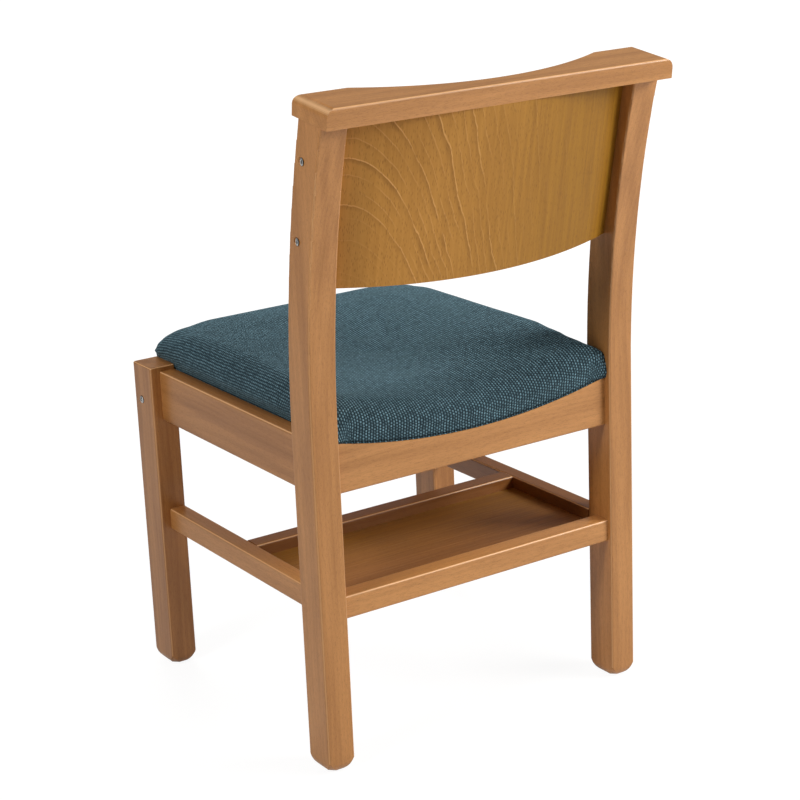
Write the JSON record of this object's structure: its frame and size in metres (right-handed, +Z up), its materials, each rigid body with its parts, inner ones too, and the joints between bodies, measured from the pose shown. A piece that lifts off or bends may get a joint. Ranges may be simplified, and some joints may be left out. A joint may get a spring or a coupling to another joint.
{
  "type": "choir chair",
  "caption": "Wooden choir chair with an upholstered teal seat, a curved plywood back panel under a crest rail, and a book rack below the seat.",
  "frame": {"origin": "centre of the bounding box on the floor, under the feet", "axes": "+Z up, the chair faces -Y, the sitter's left is +X"},
  "size_m": [0.497, 0.5532, 0.8525],
  "materials": {
    "frame_wood": "satin",
    "rail_wood": "satin",
    "panel_plywood": "satin",
    "rack_plywood": "satin",
    "inside_wood": "matte",
    "seat_fabric": "matte",
    "seat_foam": "matte",
    "steel": "satin"
  },
  "bodies": {
    "root": {"front_leg_left": "frame_wood", "front_leg_right": "frame_wood", "back_post_left": "frame_wood", "back_post_right": "frame_wood", "side_rail_left": "frame_wood", "side_rail_right": "frame_wood", "side_stretcher_left": "frame_wood", "side_stretcher_right": "frame_wood", "rack_bar": "frame_wood", "front_rail": "rail_wood", "rear_rail": "rail_wood", "rear_stretcher": "rail_wood", "crest_rail": "rail_wood", "back_panel": "panel_plywood", "rack_bottom": "rack_plywood", "corner_block_front_left": "inside_wood", "corner_block_front_right": "inside_wood", "corner_block_rear_left": "inside_wood", "corner_block_rear_right": "inside_wood", "seat_board": "inside_wood", "side_rail_dowels": "inside_wood", "cross_rail_dowels": "inside_wood", "side_stretcher_dowels": "inside_wood", "cross_stretcher_dowels": "inside_wood", "crest_dowels": "inside_wood", "seat_cover": "seat_fabric", "seat_hem": "seat_fabric", "seat_foam": "seat_foam", "panel_screws": "steel", "rail_bolts": "steel", "barrel_nuts": "steel", "block_screws": "steel", "seat_screws": "steel", "hem_staples": "steel"}
  },
  "joints": []
}
